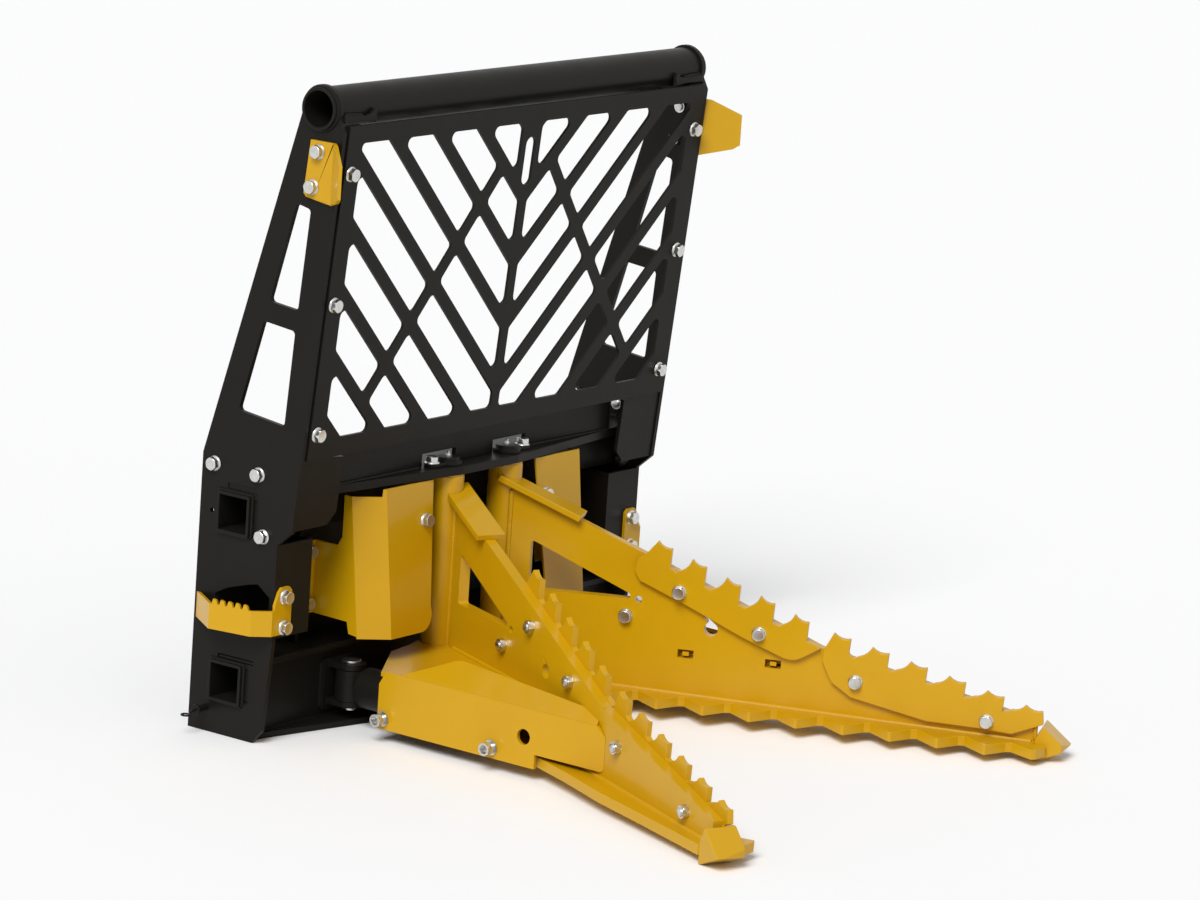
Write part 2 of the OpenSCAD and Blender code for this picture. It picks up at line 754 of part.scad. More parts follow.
module jaw_rib() {
  color(black) difference() {
    along_jaw(rib_p0, rib_p1) difference() {
      polygon([[0, grip_top(0)], [0, 437], [19, 430], [298, 321], [659, 173],
        [rib_end, 76], [rib_end, grip_top(rib_end)]]);
      soft_corners([[67, 225], [67, 325], [296, 228]], 6);
      translate([290, 228]) circle(7);
      translate([438, 184]) circle(14);
      polygon([[438 - 8, 184 + 11.5], [438 - 16, 184 + 30], [438 + 8, 184 + 11.5]]);
      for (a = rib_slot_s) translate([a, jaw_top_z + jaw_top_t / 2]) square([32, 17],
        center = true);
      for (b = concat(jaw_bolt_at, rib_bolt_at)) translate(b) circle(bolt_hole_r);
    }
    tube_room();
  }
}

// The bar along the rib's sloping top edge, notched round the tube
module jaw_flange() {
  slope_a = atan2(298 - 19, 430 - 321);
  color(black) difference() {
    on_jaw() translate([19, 0, 430]) rotate([0, 90 - slope_a, 0])
      translate([-25, rib_p0 - 19, 0]) cube([180, rib_t + 38, 12]);
    tube_room();
    translate([0, -600, tube_z1 - 12]) cube([600, 700, 200]);
  }
}

grip_s0 = 258;
grip_end = rib_end + 5;
grip_root = grip_pitch * 0.45;
grip_teeth = floor((grip_end - 20 - grip_root - grip_s0) / grip_pitch) + 1;
// The teeth's tips lie on a line that is parallel to the middle when the jaw is shut
function grip_tip(s) = -(pivot_x - grip_gap / 2 + s * sin(closed_a)) / cos(closed_a);

module gripping_plate() {
  r = rod_at_sp;
  color(oxide) difference() {
    on_jaw() translate([rib_end, 0, grip_z]) rotate([0, grip_rise, 0])
      translate([-rib_end, 0, 0]) linear_extrude(grip_t)
        polygon(concat([[0, rib_p0], [grip_s0 - 58, rib_p0]],
          [for (i = [0:grip_teeth - 1]) let (s = grip_s0 + i * grip_pitch, p = grip_tip(s),
            q = p + grip_depth) each [[s - 4, p + 3], [s + 2, p],
            [s + grip_root - 6, q - 6], [s + grip_root + 5, q]]],
          [[grip_end - 4, -94], [grip_end + 4, -88], [grip_end + 19, -58],
          [grip_end + 13, -30], [grip_end - 10, 20], [grip_end - 85, 25], [901, 32],
          [762, 43], [631, 44], [513, 50], [r[0] + 52, r[1] + 1], [r[0] + 17, r[1] + 28],
          [r[0] - 32, r[1] + 28], [r[0] - 80, 34], [60, 30], [0, 28]]));
    on_jaw() translate([rib_end, rib_p0 - 17.3, 0]) cube([100, rib_t + 48.6, 100]);
    on_jaw() translate([r[0], r[1], 0]) cylinder(r = rod_pin_r + run, h = 100);
    tube_room();
  }
}

module jaw_top_plate() {
  p = rib_p0 + 1;
  s_end = (cover_in - p * cos(cover_a)) / sin(cover_a);
  rib_side = [for (s = [s_end, 20]) [s * sin(cover_a) + p * cos(cover_a),
    p * sin(cover_a) - s * cos(cover_a)]];
  color(black) difference() {
    translate([0, 0, jaw_top_z]) {
      linear_extrude(jaw_top_t) {
        difference() {
          on_cover() polygon(concat([[10, 34], [61, 18], [134, 7], [cover_in, -82]], rib_side));
          on_jaw() difference() {
            translate([-100, rib_p1 + fit - 300]) square([rib_end + 100, 300]);
            for (a = rib_slot_s) translate([a - 6.5, rib_p0 + 1]) square([13, rib_t + 20]);
          }
          on_cover() translate(rod_at) circle(rod_pin_r + run);
        }
      }
    }
    tube_room();
  }
}

// Folded cover over the cylinder: an upright side, and a strip bent inward on top

cover_in = 274;
cover_screws = [[-99, 46], [-362, 46]];

module cover_half(lean) {
  fold_z = jaw_top_z + jaw_top_t + 5;
  on_cover() difference() {
    union() {
      upright(cover_in, cover_t) polygon([[-85, 25], [-85, 112], [-100, fold_z],
        [-602, fold_z], [-628, 116], [-628, 60], [-616, 53], [-463, 53], [-463, 25]]);
      translate([cover_in + cover_t * (1 - sin(lean)), 0, jaw_top_z + jaw_top_t])
        rotate([0, lean, 0]) translate([-90, 0, 0]) linear_extrude(cover_t)
          polygon([[90, -140], [90, -602], [50, -586], [50, -553], [9, -228], [14, -214]]);
    }
    for (p = cover_screws) translate([cover_in, p[0], p[1]]) rotate([0, 90, 0])
      bolt_bore(20);
    translate([cover_in - 10, -435, 82]) rotate([0, 90, 0]) cylinder(r = 15, h = 40);
  }
}

module cylinder_cover() {
  color(black) difference() {
    cover_half(25);
    on_jaw() translate([0, rib_p1 + fit - 200, 0]) cube([rib_end + 100, 200, 600]);
  }
}

// Toothed blades: a tooth rises in a hollow flank to its crown and drops steeply

function teeth(p1, pitch, fall, n, crown, low, rise, more = false) = [for (i = [0:n - 1])
  let (a = p1 + [i * pitch, -i * pitch * fall], b = a + crown, g = a + low + [0, i * rise],
    next = a + [pitch, -pitch * fall])
    each concat(bow(a, b, -5, 4), [b, b + [-2, low[1] - crown[1] + 8], g + [-3, 1], g],
      i < n - 1 || more ? bow(g + [8, 4], next, -4, 4) : [])];

rear_p1 = [324, 352];
front_p1 = [684, 208];
rear_n = 5;
front_n = 6;

module blade(points, bolts) {
  color(oxide) along_jaw(blade_p0, rib_p0) difference() {
    polygon(points);
    for (b = bolts) translate(b) circle(bolt_hole_r);
  }
}

module rear_blade() {
  last = rear_p1 + [rear_pitch, -rear_pitch * 0.414] * (rear_n - 1);
  blade(concat([[292, 268], [280, 288], [285, 312], [300, 322]],
    teeth(rear_p1, rear_pitch, 0.414, rear_n, [29, -13], [40, -59], 1),
    [last + [55, -63], [last[0] + 19, 150], [last[0] + 8, 145], [last[0] - 4, 144],
      [last[0] - 17, 146], [498, 180], [391, 228], [298, 266]]),
    [jaw_bolt_at[0], jaw_bolt_at[1]]);
}

module front_blade() {
  last = front_p1 + [front_pitch, -front_pitch * 0.26] * (front_n - 1);
  blade(concat([[725, 83], [685, 109], [664, 149], [666, 172]],
    teeth(front_p1, front_pitch, 0.26, front_n - 1, [34, -9], [43, -46], 2.5, true),
    bow(last, last + [34, -9], -5, 4),
    [last + [34, -9], last + [37, -35], [1045, 47], [982, 51], [876, 53]]),
    [jaw_bolt_at[2], jaw_bolt_at[3]]);
}

nose_l = 66;

// The pointed foot at a jaw's end, with its edge cut back toward the inside
module jaw_nose() {
  color(oxide) intersection() {
    along_jaw(rib_p0 - 17, rib_p1 + 26)
      polygon([[rib_end + fit, 0], [rib_end + fit, 43], [rib_end + 15, 70],
        [rib_end + nose_l, 27], [rib_end + 5, 0]]);
    on_jaw() linear_extrude(100)
      polygon([[rib_end, -60], [rib_end + nose_l - 16, -60], [rib_end + nose_l + 1, 10],
        [rib_end + nose_l + 1, 60], [rib_end, 60]]);
  }
}

module at_jaw_bolt(b, p) {
  on_jaw() translate([b[0], p, b[1]]) rotate([90, 0, 0]) children();
}

module jaw_bolts() {
  color(zinc) {
    for (b = jaw_bolt_at) at_jaw_bolt(b, blade_p0) bolt(rib_t + blade_t);
    for (b = rib_bolt_at) at_jaw_bolt(b, rib_p0) bolt(rib_t);
    on_cover() for (p = cover_screws)
      translate([cover_in + cover_t, p[0], p[1]]) rotate([0, 90, 0]) screw(cover_t);
  }
}

pin_head = 5;

module rod_pin() {
  z0 = grip_low(rod_at_sp[0]) - 2;
  z1 = jaw_top_z + jaw_top_t;
  color(steel) on_cover() translate([rod_at[0], rod_at[1], 0]) {
    translate([0, 0, z0]) cylinder(r = rod_pin_r, h = z1 - z0 + 2);
    translate([0, 0, z1 + 0.2]) cylinder(r = rod_pin_r + 5, h = pin_head);
  }
}

// Cylinders, drawn from the base pin along +X toward the rod pin

rod_world = [pivot_x, pivot_y] + [rod_at[0] * cos(open_a - cover_a)
  - rod_at[1] * sin(open_a - cover_a), rod_at[0] * sin(open_a - cover_a)
  + rod_at[1] * cos(open_a - cover_a)];
cylinder_l = norm(rod_world - base_at);
cylinder_a = atan2(rod_world[1] - base_at[1], rod_world[0] - base_at[0]);
eye_h = 60;
eye_r = 30;
eye_room = 0.9;
cylinder_z = grip_top(rod_at_sp[0] - eye_r) + eye_room + eye_h / 2;
barrel_in_r = barrel_r - barrel_wall;
barrel_x0 = eye_r + 12;
barrel_x1 = 270;
gland_l = 24;

module on_cylinder() {
  translate([base_at[0], base_at[1], cylinder_z]) rotate([0, 0, cylinder_a]) children();
}

module lying(x0, x1, r) {
  translate([x0, 0, 0]) rotate([0, 90, 0]) cylinder(r = r, h = x1 - x0);
}

module barrel() {
  color(black) on_cylinder() difference() {
    union() {
      lying(barrel_x0, barrel_x1, barrel_r);
      lying(barrel_x1 - gland_l, barrel_x1 + 6, barrel_r - 3);
      translate([0, 0, -eye_h / 2]) cylinder(r = eye_r, h = eye_h);
      translate([0, -18, -eye_h / 2]) cube([barrel_x0 + 1, 36, eye_h]);
      for (x = [barrel_x0 + 22, barrel_x1 - 40])
        translate([x, -barrel_r - 4, 0]) rotate([90, 0, 0])
          translate([0, 0, -14]) cylinder(r = 12, h = 18);
    }
    lying(barrel_x0 + 14, barrel_x1 - gland_l, barrel_in_r);
    lying(barrel_x1 - gland_l - 1, barrel_x1 + 7, rod_r + run);
    translate([0, 0, -eye_h]) cylinder(r = base_pin_r + run, h = 2 * eye_h);
  }
}

piston_l = 26;

module piston_rod() {
  bore_r = rod_pin_r + eye_play;
  color(steel) on_cylinder() difference() {
    union() {
      lying(barrel_x0 + 16, barrel_x0 + 16 + piston_l, barrel_in_r - 0.2);
      lying(barrel_x0 + 16, cylinder_l - bore_r + 2, rod_r);
      translate([cylinder_l, 0, -eye_h / 2]) cylinder(r = eye_r, h = eye_h);
    }
    translate([cylinder_l, 0, -eye_h]) cylinder(r = bore_r, h = 2 * eye_h);
  }
}

ear_t = 12;
ear_gap = 1;

module cylinder_clevis() {
  z0 = cylinder_z - eye_h / 2 - ear_gap;
  z1 = cylinder_z + eye_h / 2 + ear_gap;
  color(black) difference() {
    union() {
      translate([base_at[0] - 40, web_front - 8, z0 - ear_t - 10])
        cube([80, 8, z1 - z0 + 2 * ear_t + 14]);
      for (z = [z0 - ear_t, z1]) translate([base_at[0], base_at[1], z]) {
        cylinder(r = 28, h = ear_t);
        translate([-28, 0, 0]) cube([56, web_front - base_at[1] - 7, ear_t]);
      }
    }
    translate([base_at[0], base_at[1], 0]) cylinder(r = base_pin_r + run, h = 200);
  }
}

module base_pin() {
  z0 = cylinder_z - eye_h / 2 - ear_gap - ear_t;
  z1 = cylinder_z + eye_h / 2 + ear_gap + ear_t;
  translate([base_at[0], base_at[1], z0 - 8]) cylinder(r = base_pin_r, h = z1 - z0 + 10);
  translate([base_at[0], base_at[1], z1 + 0.2]) cylinder(r = base_pin_r + 6, h = pin_head);
}

module base_pins() {
  color(zinc) {
    base_pin();
    left() base_pin();
  }
}

// Pivot pins: each is kept from turning by a flag plate, bolted to the pivot plate

keeper_x = 50;

module pivot_pin() {
  color(zinc) translate([pivot_x, pivot_y, 0]) difference() {
    union() {
      translate([0, 0, 1]) cylinder(r = pivot_pin_r, h = pivot_top + 14);
      translate([0, 0, pivot_top + 0.1]) {
        cylinder(r = pivot_pin_r + 6, h = 8);
        translate([0, -16, 0]) cube([keeper_x, 32, 8]);
        translate([keeper_x, 0, 0]) cylinder(r = 16, h = 8);
      }
    }
    translate([keeper_x, 0, pivot_top]) bolt_bore(20);
  }
}

// Fasteners of the carrier

module on_both_sides() {
  children();
  left() children();
}

module guard_bolts() {
  color(zinc) translate([0, front_y(guard_z) - 3, guard_z]) rotate([guard_lean, 0, 0])
    for (x = [-guard_bolt_x, guard_bolt_x], v = guard_bolt_v) translate([x, 0, v])
      rotate([90, 0, 0]) bolt(guard_t + flange_t);
}

module frame_bolt_set() {
  for (p = side_holes) translate([side_out, p[0], p[1]]) rotate([0, 90, 0]) bolt(side_t);
  for (p = deflector_holes) translate([side_out + deflector_t, p[0], p[1]])
    rotate([0, 90, 0]) bolt(side_t + deflector_t);
  for (z = step_bolt_z) translate([step_bolt_x, side_front_y - step_t, z])
    rotate([90, 0, 0]) screw(step_t + box_t);
  for (p = shield_side_bolts) translate([p[0], shield_back_y, p[1]]) rotate([90, 0, 0])
    bolt(shield_t + 8);
  translate([shield_front_bolt[0], shield_y(shield_front_bolt[1]), shield_front_bolt[1]])
    rotate([90 - shield_lean, 0, 0]) bolt(shield_t + 8);
  translate([pivot_x + keeper_x, pivot_y, pivot_top + 8.1]) screw(pivot_plate_t + 6);
}

module frame_bolts() {
  color(zinc) on_both_sides() frame_bolt_set();
}

// A pin on a wire in the left side plate, which locks the coupler's lever
module latch_pin() {
  color(zinc) translate([-side_out, 49, 46]) rotate([0, 90, 0]) {
    translate([0, 0, -26]) cylinder(r = 6.3, h = 26 + side_t + 14);
    translate([0, 0, -30]) cylinder(r = 10, h = 6);
  }
}

// Left and right pieces

module side_plate_left() {
  left() side_plate();
}

module side_plate_right() {
  side_plate();
}

module upper_cross_tube() {
  cross_tube(upper_tube_z);
}

module lower_cross_tube() {
  cross_tube(lower_tube_z);
}

module guard_flange_left() {
  left() guard_flange();
}

module guard_flange_right() {
  guard_flange();
}

module shield_left() {
  left() shield();
}

module shield_right() {
  shield();
}

module step_left() {
  left() step_strap();
}

module step_right() {
  step_strap();
}

module deflector_left() {
  left() deflector();
}

module deflector_right() {
  deflector();
}

module pivot_pin_left() {
  left() pivot_pin();
}

module pivot_pin_right() {
  pivot_pin();
}

module cylinder_clevis_left() {
  left() cylinder_clevis();
}

module cylinder_clevis_right() {
  cylinder_clevis();
}

module jaw_tube_left() {
  left() jaw_tube();
}

module jaw_bushings_left() {
  left() jaw_bushings();
}

module jaw_rib_left() {
  left() jaw_rib();
}

module gripping_plate_left() {
  left() gripping_plate();
}

module jaw_top_plate_left() {
  left() jaw_top_plate();
}

module jaw_flange_left() {
  left() jaw_flange();
}

module cylinder_cover_left() {
  left() cylinder_cover();
}

module rear_blade_left() {
  left() rear_blade();
}

module front_blade_left() {
  left() front_blade();
}

module jaw_nose_left() {
  left() jaw_nose();
}

module jaw_bolts_left() {
  left() jaw_bolts();
}

module rod_pin_left() {
  left() rod_pin();
}

module jaw_tube_right() {
  jaw_tube();
}

module jaw_bushings_right() {
  jaw_bushings();
}

module jaw_rib_right() {
  jaw_rib();
}

module gripping_plate_right() {
  gripping_plate();
}

module jaw_top_plate_right() {
  jaw_top_plate();
}

module jaw_flange_right() {
  jaw_flange();
}

module cylinder_cover_right() {
  cylinder_cover();
}

module rear_blade_right() {
  rear_blade();
}

module front_blade_right() {
  front_blade();
}

module jaw_nose_right() {
  jaw_nose();
}

module jaw_bolts_right() {
  jaw_bolts();
}

module rod_pin_right() {
  rod_pin();
}

module barrel_left() {
  left() barrel();
}

module piston_rod_left() {
  left() piston_rod();
}

module barrel_right() {
  barrel();
}

module piston_rod_right() {
  piston_rod();
}

// Output

side_plate_left();
side_plate_right();
top_tube();
upper_cross_tube();
lower_cross_tube();
upper_pivot_plate();
upper_web();
lower_deck();
lower_web();
base_plate();
guard_panel();
guard_flange_left();
guard_flange_right();
header_plate();
attach_plate();
corner_gussets();
inner_gussets();
shield_brackets();
shield_left();
shield_right();
step_left();
step_right();
deflector_left();
deflector_right();
pivot_pin_left();
pivot_pin_right();
cylinder_clevis_left();
cylinder_clevis_right();
base_pins();
guard_bolts();
frame_bolts();
latch_pin();
jaw_tube_left();
jaw_bushings_left();
jaw_rib_left();
gripping_plate_left();
jaw_top_plate_left();
jaw_flange_left();
cylinder_cover_left();
rear_blade_left();
front_blade_left();
jaw_nose_left();
jaw_bolts_left();
rod_pin_left();
jaw_tube_right();
jaw_bushings_right();
jaw_rib_right();
gripping_plate_right();
jaw_top_plate_right();
jaw_flange_right();
cylinder_cover_right();
rear_blade_right();
front_blade_right();
jaw_nose_right();
jaw_bolts_right();
rod_pin_right();
barrel_left();
piston_rod_left();
barrel_right();
piston_rod_right();
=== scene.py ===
import math
import bmesh
import bpy
import numpy as np
from mathutils import Matrix, Vector


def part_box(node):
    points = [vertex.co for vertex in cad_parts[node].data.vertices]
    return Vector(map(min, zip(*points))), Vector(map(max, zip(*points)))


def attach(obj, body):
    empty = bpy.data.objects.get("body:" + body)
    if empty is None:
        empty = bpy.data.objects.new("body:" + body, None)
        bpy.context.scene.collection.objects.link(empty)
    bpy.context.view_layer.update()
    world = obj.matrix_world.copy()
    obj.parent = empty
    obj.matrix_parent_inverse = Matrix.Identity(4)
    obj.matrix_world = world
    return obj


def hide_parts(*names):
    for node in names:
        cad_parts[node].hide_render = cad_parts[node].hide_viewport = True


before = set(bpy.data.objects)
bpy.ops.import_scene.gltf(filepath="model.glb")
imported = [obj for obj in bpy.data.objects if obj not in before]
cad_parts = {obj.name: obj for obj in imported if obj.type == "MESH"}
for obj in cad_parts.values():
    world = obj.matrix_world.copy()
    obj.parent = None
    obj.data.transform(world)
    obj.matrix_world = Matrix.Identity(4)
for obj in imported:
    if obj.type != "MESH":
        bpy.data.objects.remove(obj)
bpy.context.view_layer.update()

# The photograph's view.
# A long lens looks from the left front, a little above the jaws, and its camera is rolled slightly.
# Its place and its lens were fitted to the edges of the carrier in the photograph.
photo_width_px = 1200
focal_length_px = 5124.2
sensor_mm = 36.0
to_the_right = (0.59736, -0.79924, 0.06588)
upward = (0.12624, 0.17485, 0.97643)
backward = (-0.79196, -0.57498, 0.20535)
camera_place = (-7.795, -6.079, 2.578)
scene = bpy.context.scene
lens = bpy.data.cameras.new("photo_lens")
camera = bpy.data.objects.new("photo_camera", lens)
scene.collection.objects.link(camera)
scene.camera = camera
camera.matrix_world = Matrix((*zip(to_the_right, upward, backward, camera_place), (0, 0, 0, 1)))
lens.sensor_width = sensor_mm
lens.lens = sensor_mm * focal_length_px / photo_width_px
lens.clip_end = 200


# Studio.
# A white paper floor runs out past the view, the sky is an even white, and one broad lamp stands
# high on the left, so that faces turned to the front fall into shade.
def linear(code):
    """An sRGB hex value as linear red, green, blue and full alpha."""
    c = np.array([int(code[i:i + 2], 16) for i in (1, 3, 5)]) / 255
    c = np.where(c <= 0.04045, c / 12.92, ((c + 0.055) / 1.055) ** 2.4)
    return (*c, 1.0)


def add(tree, kind, settings=(), **links):
    """Adds a shader node. Settings are attributes or input values, links are sockets to join."""
    n = tree.nodes.new(kind)
    for key, value in dict(settings).items():
        if hasattr(n, key) and key not in n.inputs:
            setattr(n, key, value)
        else:
            n.inputs[key].default_value = value
    for key, socket in links.items():
        tree.links.new(socket, n.inputs[key.replace("_", " ")])
    return n


scene.view_settings.view_transform = "Standard"
sky = bpy.data.worlds.new("studio_sky")
scene.world = sky
sky.use_nodes = True
t = sky.node_tree
t.nodes.clear()
rays = add(t, "ShaderNodeLightPath")
seen = add(t, "ShaderNodeMath", {"operation": "MAXIMUM"})
t.links.new(rays.outputs["Is Camera Ray"], seen.inputs[0])
t.links.new(rays.outputs["Is Transmission Ray"], seen.inputs[1])
shown = add(t, "ShaderNodeMath", {"operation": "MAXIMUM"})
t.links.new(seen.outputs[0], shown.inputs[0])
t.links.new(rays.outputs["Is Glossy Ray"], shown.inputs[1])
even = add(t, "ShaderNodeBackground", {"Color": linear("#F4F5F7"), "Strength": 0.40})
white = add(t, "ShaderNodeBackground", {"Color": linear("#FFFFFF"), "Strength": 1.0})
mixed = add(t, "ShaderNodeMixShader", Fac=shown.outputs[0])
t.links.new(even.outputs[0], mixed.inputs[1])
t.links.new(white.outputs[0], mixed.inputs[2])
add(t, "ShaderNodeOutputWorld", Surface=mixed.outputs[0])

sun = bpy.data.objects.new("studio_lamp", bpy.data.lights.new("studio_lamp", "SUN"))
sun.data.energy = 2.65
sun.data.angle = math.radians(30)
# It stands in this direction: to the left, a little to the front and 45 degrees up
sun.rotation_euler = Vector((-0.67, -0.22, 0.71)).to_track_quat("Z", "Y").to_euler()
scene.collection.objects.link(sun)

reach = 60
floor_mesh = bpy.data.meshes.new("studio_floor")
floor_mesh.from_pydata([(-reach, -reach, 0), (reach, -reach, 0), (reach, reach, 0), (-reach, reach, 0)],
                       [], [(0, 1, 2, 3)])
floor = bpy.data.objects.new("studio_floor", floor_mesh)
# It lies a hair below the ground, so that it never shines through a plate that stands on it
floor.location.z = -0.0006
scene.collection.objects.link(floor)
pale = bpy.data.materials.new("studio_paper")
pale.use_nodes = True
t = pale.node_tree
paper = t.nodes["Principled BSDF"]
paper.inputs["Base Color"].default_value = linear("#FFFFFF")
paper.inputs["Roughness"].default_value = 0.9
floor_mesh.materials.append(pale)


# Carrier.
# Laser-cut plates and tubes are welded together and powder coated in charcoal black.
# The coat is thick, so every cut edge is a little round, and its skin has the faint waves of orange peel.
def coat(name, colour, drifted, roughness, peel, gloss, level):
    """Paint of one colour that drifts a little over a hand's width, with orange peel in its skin.
    Peel is the strength of those waves, gloss the share of clear top coat and level the shine below."""
    m = bpy.data.materials.new(name)
    m.use_nodes = True
    t = m.node_tree
    skin = t.nodes["Principled BSDF"]
    place = add(t, "ShaderNodeTexCoord").outputs["Object"]
    # Scales are in spots per metre: the colour drifts over a hand's width, the gloss over a thumb's
    drift = add(t, "ShaderNodeTexNoise", {"Scale": 6.0, "Detail": 5.0, "Roughness": 0.6}, Vector=place)
    shade = add(t, "ShaderNodeMix", {"data_type": "RGBA"}, Factor=drift.outputs["Fac"])
    shade.inputs[6].default_value = linear(colour)
    shade.inputs[7].default_value = linear(drifted)
    t.links.new(shade.outputs[2], skin.inputs["Base Color"])
    dull = add(t, "ShaderNodeTexNoise", {"Scale": 22.0, "Detail": 3.0}, Vector=place)
    rough = add(t, "ShaderNodeMapRange", {"To Min": roughness - 0.06, "To Max": roughness + 0.08},
                Value=dull.outputs["Fac"])
    t.links.new(rough.outputs[0], skin.inputs["Roughness"])
    # Real orange peel is 1 to 2 mm across, which is too fine to show, so it is drawn 5 mm across
    waves = add(t, "ShaderNodeTexNoise", {"Scale": 200.0, "Detail": 1.5}, Vector=place)
    bump = add(t, "ShaderNodeBump", {"Strength": peel, "Distance": 0.0004},
               Height=waves.outputs["Fac"])
    t.links.new(bump.outputs[0], skin.inputs["Normal"])
    skin.inputs["Specular IOR Level"].default_value = level
    skin.inputs["Coat Weight"].default_value = gloss
    skin.inputs["Coat Roughness"].default_value = 0.1
    return m


# A satin skin: dark, hardly glossy, and even to the eye from a step away
powder_coat = coat("charcoal_powder_coat", "#151411", "#1B1915", roughness=0.42, peel=0.10, gloss=0.03,
                   level=0.10)

# Points this close are one point. A face is broad from this share of area to longest edge, in metres,
# and the angles say what still counts as flat, as a fold, as a facet of a round, and as an edge.
same_place = 1e-6
broad_from = 0.012
flat_within, shallow_fold, facet_step, steep_edge = (math.radians(v) for v in (0.6, 0.7, 14, 32))


def merged(name):
    """A CAD node's mesh with its loose triangles joined and its flat faces made whole."""
    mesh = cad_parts[name].data.copy()
    b = bmesh.new()
    b.from_mesh(mesh)
    bmesh.ops.remove_doubles(b, verts=b.verts, dist=same_place)
    bmesh.ops.dissolve_limit(b, angle_limit=flat_within, verts=b.verts, edges=b.edges)
    # A broad face stays flat and a shallow fold beside it a crisp line, as the bevel takes only the
    # steeper edges. The narrow facets of a round surface run smoothly into each other.
    b.faces.index_update()
    broad = [f.calc_area() > broad_from * max(e.calc_length() for e in f.edges) for f in b.faces]
    for f in b.faces:
        f.smooth = not broad[f.index]
    for e in b.edges:
        least = shallow_fold if any(broad[f.index] for f in e.link_faces) else facet_step
        e.smooth = not least < e.calc_face_angle(0) < steep_edge
    b.to_mesh(mesh)
    b.free()
    mesh.materials.clear()
    return mesh


def softened(nodes, body, finish, width=0.0012):
    """A copy of each CAD node whose edges get a narrow round bevel, as paint over a cut edge has."""
    for name in nodes:
        mesh = merged(name)
        mesh.materials.append(finish)
        piece = bpy.data.objects.new(name + "_finished", mesh)
        scene.collection.objects.link(piece)
        edge = piece.modifiers.new("rolled_edge", "BEVEL")
        edge.width = width
        edge.segments = 2
        edge.limit_method = "ANGLE"
        edge.angle_limit = steep_edge
        # Normals follow the broad faces, so that these stay flat up to the rounded edge
        flat = piece.modifiers.new("broad_faces_flat", "WEIGHTED_NORMAL")
        flat.keep_sharp = True
        flat.weight = 90
        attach(piece, body)
        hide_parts(name)


softened(["side_plate_left", "side_plate_right", "top_tube", "upper_cross_tube",
          "lower_cross_tube", "upper_pivot_plate", "upper_web", "lower_deck", "lower_web",
          "base_plate", "guard_panel", "guard_flange_left", "guard_flange_right",
          "header_plate", "attach_plate", "corner_gussets", "inner_gussets",
          "shield_brackets", "cylinder_clevis_left", "cylinder_clevis_right",
          "pivot_pin_left", "pivot_pin_right"],
         "frame", powder_coat)


# Weld beads of the carrier.
# Each seam is a fillet bead laid by hand, with the scales that the moving torch leaves in it, coated
# black with the plates.
def sheet_of(points):
    """A grid of points, one row for each ring, as a tube of quads whose rings are closed."""
    rows, cols = points.shape[:2]
    grid = np.arange(rows * cols).reshape(rows, cols)
    grid = np.concatenate([grid, grid[:, :1]], 1)
    quads = np.stack([grid[:-1, :-1], grid[:-1, 1:], grid[1:, 1:], grid[1:, :-1]], -1)
    return points.reshape(-1, 3), quads.reshape(-1, 4)


def piece_of(name, shells, finish, body, sharp=40):
    """One object from several shells of points and quads, smooth except at sharp bends."""
    points = np.concatenate([p for p, q in shells])
    starts = np.cumsum([0] + [len(p) for p, q in shells[:-1]])
    quads = np.concatenate([q + s for (p, q), s in zip(shells, starts)])
    mesh = bpy.data.meshes.new(name)
    mesh.from_pydata(points.tolist(), [], quads.tolist())
    b = bmesh.new()
    b.from_mesh(mesh)
    bmesh.ops.remove_doubles(b, verts=b.verts, dist=same_place)
    bmesh.ops.recalc_face_normals(b, faces=b.faces)
    b.to_mesh(mesh)
    b.free()
    mesh.polygons.foreach_set("use_smooth", [True] * len(mesh.polygons))
    mesh.set_sharp_from_angle(angle=math.radians(sharp))
    mesh.materials.append(finish)
    piece = bpy.data.objects.new(name, mesh)
    scene.collection.objects.link(piece)
    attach(piece, body)
    return piece


def rod_along(path, radius, sides=8, scales=0.0, pitch=0.006, step=0.002):
    """A round profile carried along a path at even steps. Where scales is set, the radius falls by
    that share and rises again in a sawtooth of the given pitch. Both ends close in a point."""
    path = np.asarray(path, float)
    length = np.linalg.norm(np.diff(path, axis=0), axis=1)
    at = np.concatenate([[0], np.cumsum(length)])
    u = np.linspace(0, at[-1], max(3, int(at[-1] / step) + 1))
    line = np.stack([np.interp(u, at, path[:, k]) for k in range(3)], 1)
    way = np.gradient(line, axis=0)
    way /= np.linalg.norm(way, axis=1)[:, None]
    # The profile stands on the axis that the path moves along least, so it never twists at a corner
    a = np.cross(way, np.eye(3)[np.ptp(path, axis=0).argmin()])
    a /= np.linalg.norm(a, axis=1)[:, None]
    c = np.cross(way, a)
    r = radius * (1 - scales * ((u / pitch) % 1.0))
    r[[0, -1]] = radius * 0.02
    v = np.arange(sides) * 2 * np.pi / sides
    ring = a[:, None] * np.cos(v)[None, :, None] + c[:, None] * np.sin(v)[None, :, None]
    return sheet_of(line[:, None] + ring * r[:, None, None])


def both_sides(paths):
    """Each path and its mirror image across the middle."""
    return [np.asarray(p) * [s, 1, 1] for p in paths for s in (1, -1)]


def around(node, x, loop):
    """A square or round loop in the plane at x, just outside a tube that has its size from its node."""
    (_, y0, z0), (_, y1, z1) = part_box(node)
    half = round(z1 - z0, 4) / 2 + root
    return np.stack([np.full(len(loop), x), round(y0 + y1, 3) / 2 + half * loop[:, 0],
                     round(z0 + z1, 4) / 2 + half * loop[:, 1]], 1)


def face(node, axis, side):
    """Where a CAD node begins (side 0) or ends (side 1) along an axis, in metres, and a root further
    out. The root is how far the middle of a bead lies from the faces that it joins."""
    return round(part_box(node)[side][axis], 4) + (root if side else -root)


